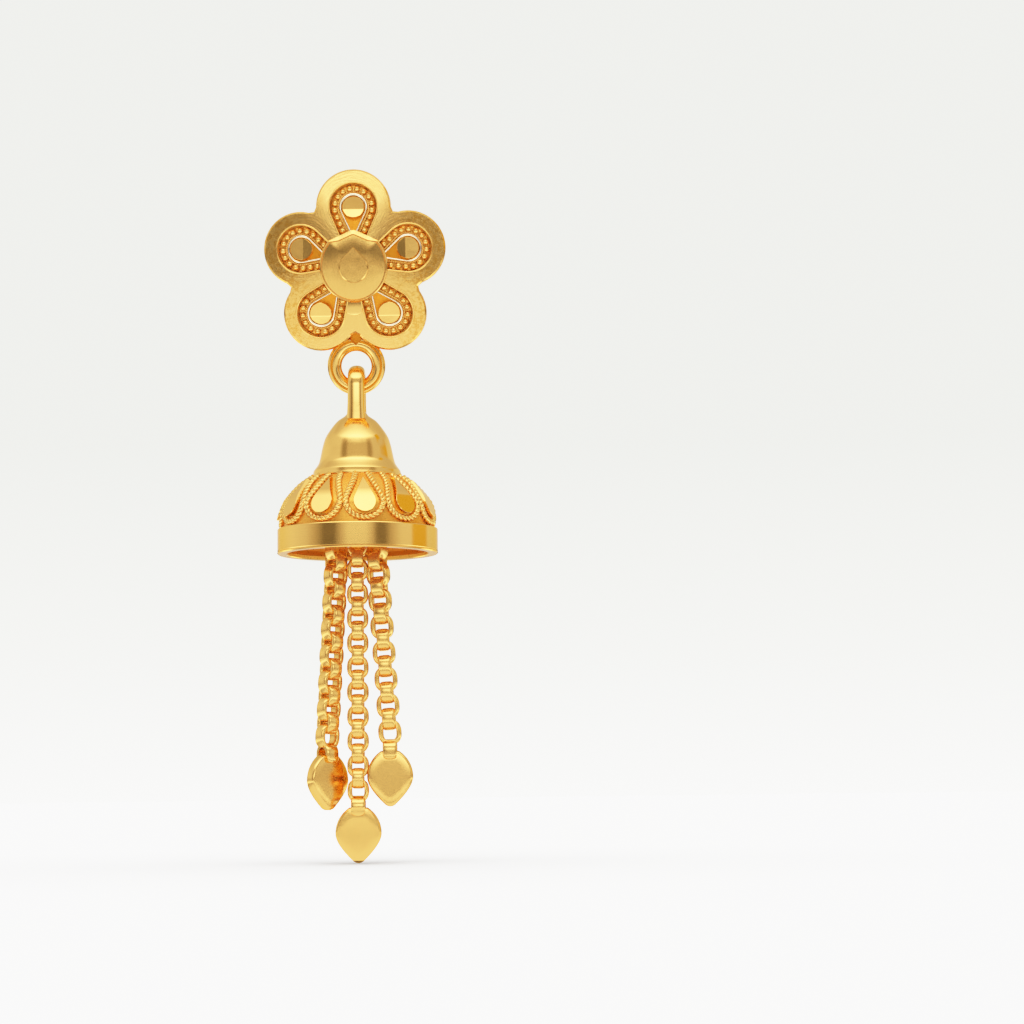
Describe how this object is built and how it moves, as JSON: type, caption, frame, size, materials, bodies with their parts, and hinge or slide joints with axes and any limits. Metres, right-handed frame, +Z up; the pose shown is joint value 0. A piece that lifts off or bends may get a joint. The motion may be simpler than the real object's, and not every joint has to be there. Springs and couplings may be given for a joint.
{
  "type": "drop earring",
  "caption": "Drop earring: a petalled flower stud on an ear post, with a ring from which a beaded bell swings on its loop, and fine chains under the bell that end in flat leaf pendants.",
  "frame": {"origin": "on the ear post's axis, at the flower's flat back", "axes": "+Z up as the earring hangs, -Y the front that faces a viewer, +X the viewer's right; the stud leans forward by 11 degrees about X, so the ear post rises towards the back by that much"},
  "size_m": [0.0121, 0.0141, 0.0458],
  "materials": {
    "gold_satin": "high-carat yellow gold, finely brushed to a satin",
    "gold_polished": "high-carat yellow gold, polished",
    "gold_chain": "high-carat yellow gold, drawn and tumbled bright"
  },
  "bodies": {
    "stud": {"flower_with_ring": "gold_satin", "petal_disc_1": "gold_polished", "petal_disc_2": "gold_polished", "petal_disc_3": "gold_polished", "petal_disc_4": "gold_polished", "petal_disc_5": "gold_polished", "centre_boss": "gold_satin", "ear_post": "gold_polished"},
    "drop": {"bell_with_loop": "gold_polished", "chain_left": "gold_chain", "leaf_left": "gold_satin", "chain_centre": "gold_chain", "leaf_centre": "gold_satin", "chain_right": "gold_chain", "leaf_right": "gold_satin"}
  },
  "joints": [
    {"name": "bell_swing", "type": "hinge", "parent": "stud", "child": "drop", "pos_m": [0, 0.00111, -0.00805], "axis": [1, 0, 0], "range_deg": [-70, 70]}
  ]
}
